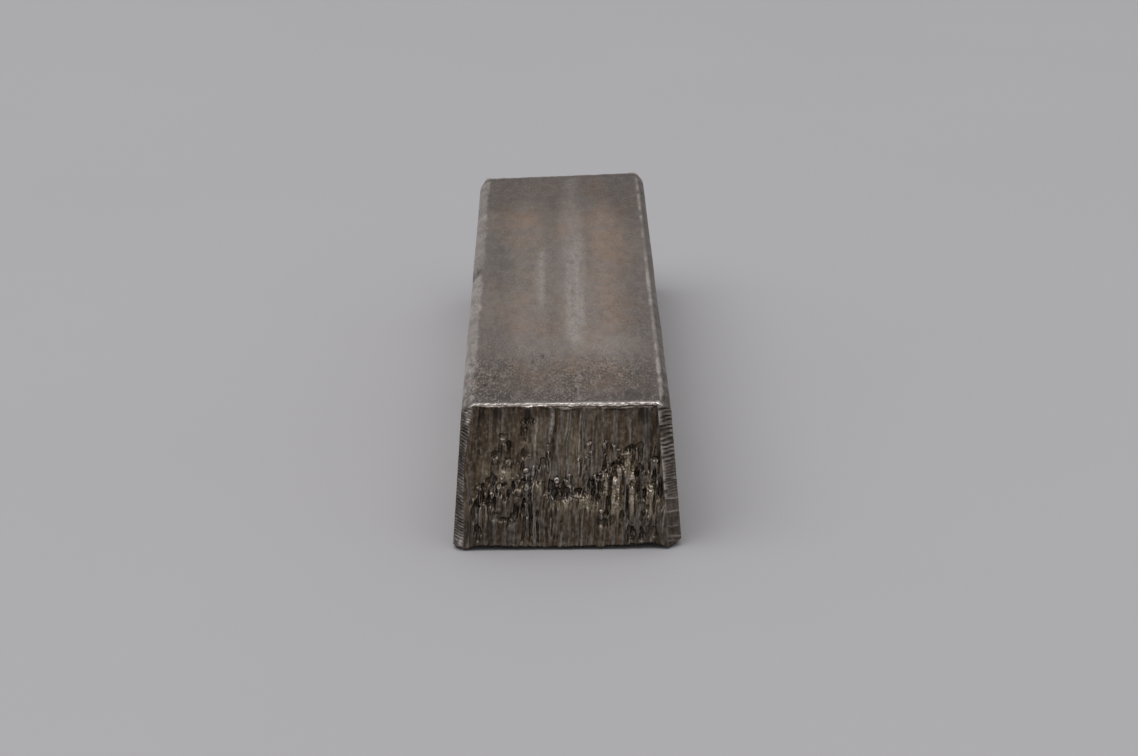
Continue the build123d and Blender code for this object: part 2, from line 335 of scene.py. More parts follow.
class End:
    """One end of the bar: its plane, the file flats beside it and its torn relief."""

    UPRIGHT = np.array((0, 0, 1.0))

    def __init__(self, origin, across, out, flats, features, seed, columns, rows, rings):
        self.origin, self.across, self.out = np.array(origin), np.array(across), np.array(out)
        self.tongues, self.streaks, self.hollows, self.curls, self.golden, self.lip_shade = features
        self.flats, self.seed = flats, seed
        self.columns, self.rows, self.rings = columns, rows, rings

    def noise(self, u, v, number):
        """Noise of this end's own, a fresh one for each number."""
        return noise(u, v, self.seed + number)

    def place(self, across, up, out):
        """Points of the bar from places on the end."""
        across, up, out = (distance[..., None] for distance in (across, up, out))
        return self.origin + across * self.across + up * self.UPRIGHT + out * self.out

    def leaning(self, across, up):
        """Places across the end, measured along drag lines that lean and waver."""
        return across - LEAN * up + 0.13 * self.noise(across / 1.2, up / 2.2, 3)

    def foot_line(self, across):
        """Height of the ragged foot of the tear."""
        reach, (left, right) = half_width(4), TEAR_INSETS
        steps = np.linspace(left - reach, reach - right, len(TEAR_LINE))
        jags = 0.5 * self.noise(across / 0.3, 0, 1) + 0.35 * self.noise(across / 0.13, 0, 2)
        return np.interp(across, steps, TEAR_LINE) + jags

    def drag_lines(self, lean, up, torn):
        """Relief of the long lines dragged up the tear and the closer ones below it, and the streaks' crests, which
        are painted light.
        """
        long = 0.11 * self.noise(lean / 0.75, up / 12, 4) + 0.07 * self.noise(lean / 0.33, up / 8, 5)
        long = long + 0.05 * self.noise(lean / 0.15, up / 3, 6)
        close = 0.06 * self.noise(lean / 0.5, up / 5, 7) + 0.07 * self.noise(lean / 0.22, up / 3, 8)
        close = close + 0.06 * self.noise(lean / 0.13, up / 1.8, 9)
        crests, beside = np.zeros_like(up), np.zeros_like(up)
        for place, width, low, high, rise in self.streaks:
            along = rise * rising(up, low, 0.5) * falling(up, high, 0.3)
            aside = (lean + LEAN * (low + high) / 2 - place) / (0.5 * width)
            crests = most(crests, along * bell(aside))
            beside = most(beside, along * bell((aside - 2) * width / 0.15))
        return torn * long + (1 - torn) * close + 0.07 * crests - 0.08 * beside, crests

    def slits(self, lean, up):
        """Depth, from 0 to 1, of narrow upright slits."""
        random = np.random.default_rng(self.seed + 10)
        depth = np.zeros_like(up)
        for _ in range(SLITS):
            place, middle = random.uniform(-8, 8), 1 + 8.5 * random.random() ** 1.5
            width, half = random.uniform(0.04, 0.085), random.uniform(0.25, 1.2)
            aside = (lean + LEAN * middle - place) / width
            near = np.abs(aside) < 3
            run = falling(np.abs(up[near] - middle), half, 0.3)
            depth[near] = most(depth[near], random.uniform(0.4, 1) * run * bell(aside[near]))
        return depth

    def all_tongues(self):
        """The tongues listed above, and many small ones between them."""
        random = np.random.default_rng(self.seed)
        small = []
        for _ in range(SMALL_TONGUES):
            place, top = random.normal(1.2, 4.4), random.normal(5.8, 1.9)
            width, length = random.uniform(0.14, 0.4), random.uniform(0.5, 2.0)
            small.append((place, top, width, length, random.uniform(0.06, 0.2)))
        return [*self.tongues, *(tongue for tongue in small if 2 < tongue[1] < 10.5 and abs(tongue[0]) < 7)]

    def torn_plates(self, across, up):
        """How far torn tongues lift off the face, and how deep the cracks round them are."""
        lift, sink = np.zeros_like(up), np.zeros_like(up)
        jags = 0.2 * self.noise(across / 0.13, 0, 13) + 0.12 * self.noise(across / 0.3, up / 0.6, 14)
        edge = across + 0.06 * self.noise(across / 0.25, up / 0.5, 15)
        for place, top, width, length, rise in self.all_tongues():
            aside = (edge - place - LEAN * (up - top)) / (width / 2)
            tip = top - 0.3 * width * np.minimum(aside**2, 2) + jags
            below = tip - up
            inside = falling(np.abs(aside), 1.15, 0.45) * smooth_step(below / 0.06 + 0.5)
            lift = most(lift, inside * rise * unit(1 - below / length) ** 0.7)
            over = bell(aside / 1.1) * smooth_step(-below / 0.05) * np.exp(below / 0.22)
            beside = bell(((np.abs(aside) - 1.1) * width / 2 - 0.05) / 0.06)
            beside = beside * rising(below, 0, 0.2) * falling(below, 0.8 * length, 0.4)
            sink = most(sink, rise * most(0.8 * over, 0.55 * beside))
        return lift, sink

    def torn_spots(self, across, up):
        """Depth of the torn hollows, from 0 to 1, and the rise and painted highlight of the curls beside them."""
        ragged = 0.45 * self.noise(across / 0.14, up / 0.3, 42) + 0.35 * self.noise(across / 0.35, up / 0.5, 43)
        depth, rise, bright, moat = (np.zeros_like(up) for _ in range(4))
        for at, height, wide, tall, light in self.curls:
            away = np.hypot((across - at) / wide, (up - height) / tall) + 0.4 * ragged
            dome = np.sqrt(unit(1 - unit(away) ** 2))
            rise = most(rise, (0.04 + 0.3 * min(wide, tall)) * dome)
            # A painted highlight on each curl, brightest on its upper rim
            rim = bell((away - 0.7) / 0.25) * unit(0.5 + 0.7 * (up - height) / tall)
            bright = most(bright, light * most(rim, 0.45 * dome))
            moat = most(moat, light * bell((away - 1.3) / 0.25))
        for at, height, wide, tall in self.hollows:
            tall = np.where(up < height, 1.7 * tall, tall)
            away = np.hypot((across - at) / wide, (up - height) / tall) + ragged
            depth = most(depth, smooth_step(1.5 - away))
        depth = most(depth, 0.6 * moat) * (1 - smooth_step(6 * rise)) * (1 - 0.35 * rising(up, 7, 1.5))
        return depth, rise, bright * unit(0.8 + 0.6 * self.noise(across / 0.09, up / 0.1, 41))

    def lip_parts(self, across, under):
        """How far down the lip reaches, the crack along it, and the bright lines over and under the crack."""
        thick = np.interp(across, (-2.5, -1.2, 6.5, 7.2), (0.2, 0.42, 0.42, 0.3))
        thick = thick + 0.04 * self.noise(across / 0.8, 0, 18) + 0.035 * self.noise(across / 0.25, 0, 19)
        right = rising(across, 2, 2)
        cracked = unit(0.75 + 0.25 * right + 0.6 * self.noise(across / 0.5, 0, 44)) * rising(across, -2.5, 2)
        middle = 0.17 + 0.03 * self.noise(across / 0.4, 0, 45)
        # The crack is painted dark, as shade in it
        crack = cracked * bell((under - middle) / (0.045 + 0.025 * right))
        # The bright lines over and under the crack: rubbed metal with a painted highlight
        broken = 0.62 + 0.25 * self.noise(across / 0.35, 0, 27) + 0.3 * self.noise(across / 0.12, under / 0.1, 39)
        broken = unit(broken) * np.interp(across, (-4, -1), (0.65, 1))
        first = falling(under, middle, 0.08) * broken
        second = unit(0.4 + 0.7 * self.noise(across / 0.5, 0, 46)) * bell((under - middle - 0.14) / 0.05)
        return thick, crack, most(first, 0.6 * second)

    def relief(self, across, up, left, right, top):
        """How far the torn face stands out of the end's plane, with the parts of it that are coloured apart."""
        lean = self.leaning(across, up)
        torn = rising(up, self.foot_line(lean), 0.12)
        lift, sink = self.torn_plates(across, up)
        lines, crests = self.drag_lines(lean, up, torn)
        holes, rise, bright = self.torn_spots(across, up)
        out = lines + lift - sink - 0.2 * self.slits(lean, up) * (1 - 0.6 * torn) + rise - 0.25 * holes
        pits = bell((up - 6) / 2.2) * rising(self.noise(across / 0.2, up / 0.26, 16), 0.3, 0.5)
        out = out - 0.05 * pits + 0.02 * self.noise(across / 0.13, up / 0.3, 17)

        # Sound metal at the sides and foot
        inset = np.minimum(across - left, right - across)
        sides = rising(inset, 0, 0.25)
        out = out * sides - (TEAR_DEPTH * torn + 0.1) * rising(inset, 0, 1.1)
        out = out * (0.3 + 0.7 * rising(up, 0.3, 0.5))

        # A wavy lip with a crack along it and a groove under it
        under = top - up
        thick, crack, lip_lines = self.lip_parts(across, under)
        groove = bell((under - thick - 0.14) / 0.14) * (0.6 + 0.6 * self.noise(across / 1.4, 0, 20))
        out = out - 0.1 * groove * sides
        lip = falling(under, thick, 0.08)
        bulge = rising(under, 0, 0.16) * (0.7 + 0.3 * self.noise(across / 0.3, 0, 52))
        edge = 0.02 + 0.11 * bulge + 0.025 * self.noise(across / 0.2, up / 0.1, 21)
        out = out * (1 - lip) + (edge - 0.1 * crack) * lip
        return out, {"crests": crests, "holes": holes, "bright": bright, "crack": crack * lip, "lip": lip_lines * lip}

    def cap(self):
        """A grid of points over the end, their places on its flat picture, and masks for its colours."""
        u, v = np.meshgrid(np.linspace(0, 1, self.columns + 1), row_places(self.rows))
        inner = rising(u, 0, 0.05) * falling(u, 1, 0.04)
        rag = 0.04 * self.noise(u * 30, 0, 22) + 0.05 * self.noise(u * 110, 0, 23)
        foot = most(np.interp(u, *FOOT_LINE) + rag * inner, 0.03)
        top = HEIGHT - 0.1 + 0.04 * self.noise(u * 24, 0, 24) + 0.03 * self.noise(u * 70, 0, 25)
        up = foot + (top - foot) * v
        left = self.flats[0] * np.interp(up, *LEFT_SHARES) - half_width(up)
        right = half_width(up) - self.flats[1]
        across = left + (right - left) * u
        out, parts = self.relief(across, up, left, right, top)

        # Notches and lumps in the golden tongues
        gold = patches(self.golden, across, up)
        gilt = rising(gold, 0.4, 0.3) * rising(up, 3.2, 0.5)
        notches = gilt * np.cos(pi * (up / 0.27 + 0.5 * self.noise(across / 0.35, up / 0.8, 55))) ** 4
        lumps = self.noise(across / 0.24, up / 0.32, 57) + 0.6 * self.noise(across / 0.11, up / 0.15, 58)
        lumps = gilt * lumps
        out = out - 0.05 * notches + 0.09 * lumps

        over_x, over_z = out - blurred(out, 3, (1,)), out - blurred(out, 3, (0,))
        # A near black band along the foot of the face: painted shadow of the gap under the foot, and tarnish
        rim_height = 0.11 + 0.06 * self.noise(u * 60, 0, 48)
        rim = falling(up - foot, rim_height, 0.06) * inner
        hollow = most(self.torn_patina_and_shade(across, up, top, out, over_x, parts["holes"]), 0.4 * notches)
        hollow = most(hollow, 0.55 * unit(-lumps - 0.1))
        # Dark: patina and painted shade, with the lip's crack and the band along the foot. Bright: rubbed metal and
        # painted highlights
        masks = {
            "hollow": most(hollow * (1 - parts["lip"]), parts["crack"], 0.95 * rim),
            "worn": most(self.torn_crests(across, up, over_x, over_z, lumps, parts), parts["lip"]),
            "gold": gold,
            # The streaks' crests are painted light grey, as highlights
            "grey": most(self.greyness(across, up), parts["crests"]),
        }
        return self.place(across, up, out), np.stack([across, up], -1), masks

    def torn_patina_and_shade(self, across, up, top, out, over_x, holes):
        """Dark places on the torn face: hollows, fine grooves, shade under the lip, and the low corners."""
        # Patina and painted shade in the hollows and fine grooves
        deep = blurred(out, 25) - out
        fine = unit(-over_x / 0.03 - 0.2)
        strength = np.interp(across, (-2.5, -0.5, 3, 5), (0.76, 1, 1, 0.88))
        hollow = most(0.78 * unit(deep / 0.19 - 0.26), 0.6 * holes) * strength
        # Painted shade under the lip
        lip_shade = patches(self.lip_shade, across, up) * smooth_step((top - up) / 0.25 - 1.2)
        lip_shade = np.clip(lip_shade * (1.1 + 0.6 * self.noise(across / 0.2, up / 2, 34)), 0, 0.85)
        corners = rising(np.abs(across - 0.3), 3.5, 2) * falling(up, 3.6, 1.5)
        corners = 0.42 * corners * (0.8 + 0.5 * self.noise(across / 0.3, up / 1.2, 38))
        return most(hollow, 0.45 * fine, lip_shade, corners)

    def torn_crests(self, across, up, over_x, over_z, lumps, parts):
        """Bright places on the torn face: curls and lumps most, then streaks, upright ridges and round crests."""
        # Rubbed metal with painted highlights
        round_crest = unit(np.minimum(over_x, over_z) / 0.02 - 0.3)
        ridge = unit(over_x / 0.035 - 0.6) * smooth_step(self.noise(across / 1.3, up / 1.6, 26) + 0.2)
        streaked = 0.8 * parts["crests"] ** 2 * unit(0.55 + 0.8 * self.noise(across / 0.12, up / 0.2, 54))
        crowns = 0.95 * unit((lumps - 0.2) / 0.6)
        curls = np.interp(across, (1.5, 2.5), (0.45, 0.65)) * parts["bright"]
        return most(0.15 * round_crest, 0.3 * ridge, crowns, streaked, curls)

    def greyness(self, across, up):
        """Where the torn face is grey and not brown: along the drag lines, broadly above and finely below."""
        lean = self.leaning(across, up)
        below, above = falling(up, 4.5, 1.5), rising(up, 6.5, 2)
        wide, thin = self.noise(lean / 0.45, up / 9, 28), self.noise(lean / 0.16, up / 5, 29)
        grey = 0.36 - 0.08 * above + (1 - 0.6 * below) * (0.25 * wide + (0.5 - 0.2 * above) * thin)
        grey = grey + 0.5 * below * self.noise(lean / 0.1, up / 3, 53)
        grey = grey + 0.25 * above * self.noise(lean / 0.8, up / 14, 56)
        grey = grey + 0.14 * bell((across - 2.5) / 4.5, (up - 6) / 2.2)
        return smooth_step(0.5 + 1.5 * (grey - 0.5))

    def file_marks(self, height, aside, left):
        """Depth of the marks across a file flat, and how bright the crests between them are, from 0 to 1.

        They are close and slanted on the left. On the right they are wide near the top, close half-way down,
        and worn away near the foot, where a few steps with bright edges are left.
        Their darkening is painted shade in the marks, and the bright crests and step edges are painted highlights.
        """
        side = np.where(left, 0, 9)
        right_turns = np.interp(height, (0, 7.5, 12.7), (0, 31, 45))
        turns = np.where(left, height / 0.27 - 0.9 * aside, right_turns - 0.35 * aside)
        turns = turns + 0.5 * self.noise(height / 1.3, side, 30) + 0.2 * self.noise(height / 0.3, 4 * aside, 37)
        wave = np.cos(pi * turns) ** 2
        strokes = wave**0.4 * (0.75 + 0.3 * aside)
        place = height + 0.15 * aside + 0.1 * self.noise(height / 0.6, 3 * aside, 49)
        edges = np.array(FLAT_STEPS)
        under = edges[np.searchsorted(edges, place).clip(0, len(edges) - 1)] - place
        edge = bell(np.abs(place[:, None] - edges).min(1) / 0.06)
        close = np.interp(height, (4.2, 4.6, 7.4, 8.4), (0.15, 0.6, 0.65, 1.1))
        steps = 0.28 + close * (wave - 0.4) * (0.6 + 0.6 * aside) + 0.35 * np.exp(-np.abs(under) / 0.2)
        strength = 0.9 + 0.5 * self.noise(height / 0.4, 3 * aside + side, 31)
        mark = unit(np.where(left, strokes, steps * (1 - edge)) * strength)
        shine = np.where(left, np.interp(height, (5, 10), (1, 0.6)) * (1 - 0.5 * aside), 0.7 - 0.2 * aside)
        shine = shine * unit(0.6 + self.noise(height / 0.35, side + 2 * aside, 36))
        crests = unit(1.1 - 1.4 * wave ** np.where(left, 0.4, 0.6)) * np.where(left, 1, close)
        return mark, np.where(left, crests, most(0.9 * edge, 0.8 * crests)) * shine

    def lip_shine(self, x, share):
        """How bright the lip's rounding is, rubbed and with a painted highlight, at a share of the way back over it.
        """
        dull = 0.58 * falling(share, 1, 0.5) * (0.75 + 0.4 * self.noise(x / 0.6, share, 47))
        shine = 0.5 + 0.25 * self.noise(x / 0.3, share * 3, 32) + 0.3 * self.noise(x / 0.12, share * 6, 40)
        lit = np.interp(x * self.across[0], (-2, 1), (0.4, 0.95))
        return most(dull, falling(share, lit, 0.4) * unit(shine))

    def flat_shine(self, z, share, left):
        """How bright a file flat is beside the torn face and, on the left, near its top."""
        inner = falling(share, 0.35, 0.2) * smooth_step(1.6 * self.noise(z / 0.25, left * 9, 33) + 0.4)
        inner = inner * np.where(left, 0.7, rising(z, 4.2, 0.5))
        strip = left * rising(z, 10.2, 0.8) * falling(share, 0.7, 0.3)
        return most(inner, strip * (0.6 + 0.6 * self.noise(z / 0.2, share * 5, 50)))

    def collar(self, border, flat, t):
        """Rings of points from the border of the cap, over the lip and the file flats, to the full section."""
        section, normal = outline(t)
        x, z = section.T
        outward = np.stack([normal[:, 0] * self.across[0], normal[:, 1]], 1)
        base = falling(z, 0.1, 0.1) * falling(np.abs(x), 8.9, 0.8)
        flank = rising(np.abs(x), 7, 0.6) * falling(z, HEIGHT, 0.4) * (1 - base)
        over = (1 - flank) * (z > HEIGHT / 2)
        left = x * self.across[0] < 0
        reach = LIP_REACH + (FLAT_REACH - LIP_REACH) * flank + (ROLL_REACH - LIP_REACH) * base
        power = 3.0 - 1.9 * flank - 2.3 * base  # of the rounding: 2 is a round one, and 1 is a flat
        full_y = self.origin[1] + x * (self.across[1] / self.across[0]) - reach * np.sign(self.out[1])
        full_x, full_z = cut_corners(x, z, near_end(reach) * (1 if self.out[1] < 0 else REAR_CUT))
        full = np.stack([full_x, full_y, full_z], 1)
        bead_place = half_width(HEIGHT) + 0.24 - np.where(left, *self.flats)
        # Painted shade under the bead on the right-hand flat
        shade_under_bead = np.where(left, 0, flank * bell((z - HEIGHT + 0.65) / 0.2))
        rings = []
        for n in range(1, self.rings + 1):
            share = n / self.rings
            swell = sin(share * pi)
            aside = sin(share * pi / 2) ** (2 / power)
            back = 1 - cos(share * pi / 2) ** (2 / power)
            ring = border + (full - border) * aside[:, None]
            ring[:, 1] = border[:, 1] + (full[:, 1] - border[:, 1]) * back

            # File marks, with a lump at the left foot and beads at the ends of the lip
            mark, crest_highlight = self.file_marks(z, aside, left)
            lump = left * flank * bell((z - 0.6) / 0.4) * swell
            mark = mark * flank * (1 - lump) * min(1.0, 0.3 + 2.5 * (1 - share), 5 * share)
            ring = ring - (MARK_DEPTH * mark)[:, None] * self.out
            ring[:, 0] -= 0.8 * MARK_DEPTH * mark * np.sign(x)
            ring = ring + (0.25 * lump)[:, None] * self.out
            bead = bell((np.abs(ring[:, 0]) - bead_place) / 0.38, (ring[:, 2] - HEIGHT + 0.1) / 0.32) * swell
            ring = ring + (0.36 * bead)[:, None] * self.out
            ring[:, 2] += 0.05 * swell * over * (0.5 + 0.5 * self.noise(x / 0.35, 0, 35)) + 0.1 * bead

            shine = flank * self.flat_shine(z, share, left)
            pitted = unit(0.3 + 1.2 * self.noise(z / 0.13, share * 8, 51))
            lip = over * self.lip_shine(x, share)
            # Bright: rubbed metal, with painted highlights on the lip's rounding, the file crests and the beads
            worn = most(lip, 0.75 * shine, crest_highlight * flank, 0.9 * lump * pitted, 1.8 * bead)
            # Painted shade in the file marks
            mark_shade = 0.95 * mark * (1 - bead) * (1 - 0.7 * unit(shine))
            # Painted shade on the underside of the rolled foot
            roll_underside_shade = 0.95 * base * smooth_step(3 * share)
            rings.append((ring, {
                "flat": flat + share * COLLAR_WIDTH * outward,
                "roll": np.stack([t, ring[:, 1]], 1),
                "hollow": most(mark_shade, 0.8 * lump * (1 - pitted), 0.7 * shade_under_bead, roll_underside_shade),
                "worn": unit(worn),
                "grey": np.where(left, 0.6, 0.4),
                "shade": shade(x, ring[:, 1]),
                "grit": grit(ring[:, 1], z),
                "torn": np.where(over > 0.5, 1 - share, 1 - 0.3 * share * (1 - base)),
            }))
        return rings


class Skin:
    """Vertices with their masks, and faces, gathered into one closed mesh.

    A vertex has a place on the flat picture of its end, and a place (t, y) on the unrolled body.
    """

    MASKS = ("hollow", "worn", "torn", "grey", "gold", "stain", "shade", "light", "grit")

    def __init__(self):
        self.rows, self.faces, self.charts, self.count = [], [], [], 0

    def add(self, points, flat=None, roll=None, **masks):
        """Adds a block of points, and returns their numbers in the same layout."""
        shape = points.shape[:-1]
        nowhere = np.zeros((*shape, 2))
        columns = [points, nowhere if flat is None else flat, nowhere if roll is None else roll]
        columns += [np.broadcast_to(masks.get(name, 0.0), shape)[..., None] for name in self.MASKS]
        self.rows.append(np.concatenate(columns, -1).reshape(-1, 7 + len(self.MASKS)))
        numbers = np.arange(self.count, self.count + np.prod(shape)).reshape(shape)
        self.count += numbers.size
        return numbers

    def add_faces(self, corners, chart):
        """Adds faces, which belong to one chart of the map."""
        faces = np.stack(corners, -1).reshape(-1, len(corners)).tolist()
        self.faces += faces
        self.charts += [chart] * len(faces)

    def grid(self, numbers, chart):
        """Faces over a grid of vertices."""
        self.add_faces([numbers[:-1, :-1], numbers[:-1, 1:], numbers[1:, 1:], numbers[1:, :-1]], chart)

    def bridge(self, front, rear, chart):
        """Faces between two closed rings of as many vertices."""
        self.add_faces([front, np.roll(front, -1), np.roll(rear, -1), rear], chart)

    def zip(self, front, front_t, rear, rear_t, chart):
        """Faces between two closed rings of different numbers of vertices, matched by t."""
        front_key = (front_t + np.append(front_t[1:], 4)) / 2
        rear_key = (rear_t + np.append(rear_t[1:], 4)) / 2
        across = np.searchsorted(rear_key, front_key) % len(rear)
        self.add_faces([front, np.roll(front, -1), rear[across]], chart)
        across = np.searchsorted(front_key, rear_key, side="right") % len(front)
        self.add_faces([front[across], np.roll(rear, -1), rear], chart)

    def map(self, rows):
        """A place on the map, in shares of its square, for each corner of each face."""
        sizes = np.array([len(face) for face in self.faces])
        corners = np.concatenate([np.array(face) for face in self.faces])
        face_of = np.repeat(np.arange(len(sizes)), sizes)
        chart = np.array(self.charts)[face_of]
        flat, t, y = rows[corners, 3:5], rows[corners, 5], rows[corners, 6]
        first = np.concatenate([[0], np.cumsum(sizes)[:-1]])
        under = np.maximum.reduceat(t, first)[face_of] > 3
        t = np.where(under & (t < 1), t + 4, t)
        across = np.interp(t, range(5), np.concatenate([[0], np.cumsum(RUN_LENGTHS)]))
        across = np.where(under, across - sum(RUN_LENGTHS[:3]), across)
        chart[(chart == "body") & under] = "base"
        unrolled = np.isin(chart, ("body", "base"))[:, None]
        place = np.where(unrolled, np.stack([across, y - FRONT_Y], 1), flat)
        for name, (corner, scale) in CHARTS.items():
            place[chart == name] = place[chart == name] * scale + corner
        return place / MAP_SIDE

    def make(self, name):
        """The mesh as a Blender object."""
        rows = np.concatenate(self.rows)
        mesh = bpy.data.meshes.new(name)
        mesh.from_pydata((rows[:, :3] * MM).tolist(), [], self.faces)
        for n, mask in enumerate(self.MASKS):
            values = mesh.attributes.new(mask, "FLOAT", "POINT")
            values.data.foreach_set("value", rows[:, 7 + n].astype(np.float32))
        bake_map = mesh.uv_layers.new(name="OFBake")
        bake_map.uv.foreach_set("vector", self.map(rows).astype(np.float32).ravel())
        mesh.polygons.foreach_set("use_smooth", [True] * len(mesh.polygons))
        mesh.validate()
        return add_object(name, mesh)


def add_object(name, data):
    """A new object in the scene."""
    piece = bpy.data.objects.new(name, data)
    bpy.context.scene.collection.objects.link(piece)
    return piece


def row_places(rows):
    """Shares of an end's height for the rows of its grid, closer together under the lip."""
    return 1 - (1 - np.linspace(0, 1, rows + 1)) ** 1.15


def near_end(distance):
    """How near to an end of the bar a place is, from 0 to 1."""
    return bell(most(distance - 0.8, 0) / 1.2)


def cut_corners(x, z, near):
    """The places of the section, with its corners cut back near an end."""
    side = half_width(z) - np.abs(x)
    top = near * np.clip(SHOULDER_CUT - side - (HEIGHT - z), 0, None) / 2
    foot = near * np.clip(np.where(x < 0, LEFT_FOOT_CUT, RIGHT_FOOT_CUT) - side - z, 0, None) / 2
    return x - np.sign(x) * (top + foot), z - top + foot


def border_of(grid):
    """The border of a grid of numbers: up the left side, over the top, down the right side and back."""
    return np.concatenate([grid[:-1, 0], grid[-1, :-1], grid[:0:-1, -1], grid[0, :0:-1]])


def border_t(columns, rows):
    """The value of t at each vertex of such a border."""
    side, over = row_places(rows), np.arange(columns) / columns
    return np.concatenate([side[:-1], 1 + over, 3 - side[:0:-1], 3 + over])


def body_t():
    """The values of t round the body's rings, closer together at the shoulders and feet."""
    runs = []
    for n, count in enumerate(RUN_COUNTS):
        u = np.arange(count) / count
        pull = 0.6 if n % 2 == 0 else 0.3
        runs.append(n + u - pull * np.sin(2 * pi * u) / (2 * pi))
    return np.concatenate(runs)


def body_relief(x, y, z, normal_x, normal_z):
    """How far the body stands out of its plain section, and how dark its hollows and right shoulder are."""
    top = unit(normal_z) ** 4
    side = np.abs(normal_x) ** 4
    below = HEIGHT - z
    shoulder = unit(1 - top - side) * (below < HEIGHT / 2)
    out = top * (0.014 * noise(x / 0.9, y / 30, 50) + 0.02 * noise(x / 5, y / 8, 51) - 0.015)
    out = out + top * 0.012 * noise(x / 0.3, y / 0.6, 52)
    out = out + side * (0.02 * noise(z / 0.8, y / 30, 53) + 0.025 * noise(z / 4, y / 7, 54) - 0.02)
    out = out + shoulder * (0.05 * noise(y / 2.5, x / 9, 55) + 0.03 * noise(y / 0.8, x / 9, 56) - 0.05)

    # A dent in the left shoulder with a raised rim, pits, and a dark right shoulder, which is a painted reflection of
    # shade
    dent = bell((x + 8.1) / 0.75, (y - 0.9) / 1.3, below / 1.1)
    rim = bell((x + 7.2) / 0.3, (y - 0.6) / 1.5) * top
    out = out - 0.35 * dent + 0.05 * rim
    hollow = 0.8 * dent * unit(0.5 + noise(x / 0.5, y / 0.5, 57))
    right_shoulder_reflected_shade = rising(x, 7.75, 0.15) * falling(below, 0.9, 0.5)
    hollow = most(hollow, 0.45 * right_shoulder_reflected_shade)
    for pit_x, pit_y, wide, long in PITS:
        pit = bell((x - pit_x) / wide, (y - pit_y) / long) * top
        out = out - 0.07 * pit
        hollow = most(hollow, 0.9 * pit)
    return out, hollow


def stains(x, y):
    """Brown stains on the bar's top."""
    total = 0.2 + 0.45 * noise(x / 2.0, y / 4, 60)
    for at_x, at_y, wide, long in STAINS:
        total = total + bell((x - at_x) / wide, (y - at_y) / long)
    return unit(total * rising(y, FRONT_Y + 1.5, 2.5))


def wear_and_sheen(x, y, z):
    """Where the body is lighter: rubbed metal, painted reflections and a painted highlight.

    On the top: two bands along it, which are painted reflections, a scratch and a patch near the front,
    and a line by the right shoulder, which is a painted highlight.
    Besides: the left shoulder, rubbed and with a painted reflection, and the feet here and there, rubbed.
    """
    below = HEIGHT - z
    top = falling(below, 0.5, 0.3)
    uneven = 0.75 + 0.35 * noise(x / 0.4, y / 9, 61)
    # Painted reflections: lighter in the top's middle and in two bands along it
    middle = 0.14 * rising(y, -30, 10) * falling(y, 24, 16)
    first = np.exp(-(((x - 0.95) / 0.9) ** 4)) * rising(y, -24, 8) * (0.25 + 0.4 * falling(y, 14, 14))
    second = 0.55 * bell((x + 2.05) / 0.5) * rising(y, -12, 5) * falling(y, 10, 6)
    scratch = 0.6 * bell((x - 1.05) / 0.2) * falling(y, -25, 4) * (0.7 + 0.5 * noise(y / 0.9, 0, 67))
    patch = 0.2 * bell((x - 4) / 2.5, (y + 20) / 4)
    bands = (most(first, second, scratch) * uneven + middle + patch) * top
    # The left shoulder: rubbed, with a painted reflection
    left = smooth_step((-7.2 - x - 0.15 * noise(y / 0.7, 0, 66)) / 0.3) * falling(below, 1.1, 0.6)
    left = left * (0.85 + 0.3 * noise(y / 1.5, 0, 62))
    left = left * (0.7 + 0.25 * falling(y, 2, 4) - 0.2 * falling(y, -23, 6))
    # A painted highlight along the right shoulder
    right = 1.6 * bell((x - 7.62) / 0.14) * (0.7 + 0.5 * noise(y / 1.2, 0, 63) - 0.3 * rising(y, 0, 8)) * top
    foot = 0.35 * falling(z, 0.5, 0.4) * smooth_step(0.4 + noise(y / 3, x / 9, 64))
    return unit(most(bands, left, right, foot))


def shade(x, y):
    """Where the top is darker: by its long edges and ends, in lines along it, and most behind the front lip."""
    edges = 0.6 * rising(np.abs(x - 0.1), 3.6, 2.4) * (0.8 + 0.4 * noise(x / 3, y / 9, 65))
    ends = most(0.65 * rising(y, 16, 12), 0.5 * falling(y, -20, 8))
    middle = bell((x + 1.1) / 0.8) * rising(y, -20, 6) * falling(y, 28, 8)
    beside = bell((x - 2.3) / 0.45) * rising(y, -4, 6) * falling(y, 24, 6)
    right = rising(x, 5.4, 1.2) * rising(y, -20, 6) * falling(y, 22, 6)
    lines = (0.25 + 0.2 * rising(y, 0, 10)) * middle + 0.25 * beside + 0.2 * right
    strip = 0.25 * falling(y, FRONT_Y + 3.2, 1.5)
    return np.clip(edges + ends + lines, 0, 0.75) + strip


def grit(y, z):
    """How grainy the body's colour is: most at the front of the top."""
    top = smooth_step((1.0 - (HEIGHT - z)) / 0.8)
    return 0.18 + top * (0.06 + 0.64 * falling(y, -18, 11))


def rear_limit(x):
    """Where the plane of the rear cut is, along the bar."""
    return REAR_Y + x * tan(REAR_SKEW)


def body_ring(skin, t, y):
    """Adds a ring of vertices round the body, and returns their numbers."""
    section, normal = outline(t)
    (x, z), (normal_x, normal_z) = section.T, normal.T
    out, hollow = body_relief(x, y, z, normal_x, normal_z)
    near = most(near_end(y - FRONT_Y), REAR_CUT * near_end(rear_limit(x) - y))
    cut_x, cut_z = cut_corners(x, z, near)
    ring = np.stack([cut_x + out * normal_x, y, most(cut_z + out * normal_z, 0)], 1)
    masks = {"hollow": hollow, "stain": stains(x, y), "light": wear_and_sheen(x, y, z)}
    return skin.add(ring, roll=np.stack([t, y], 1), shade=shade(x, y), grit=grit(y, z), **masks)


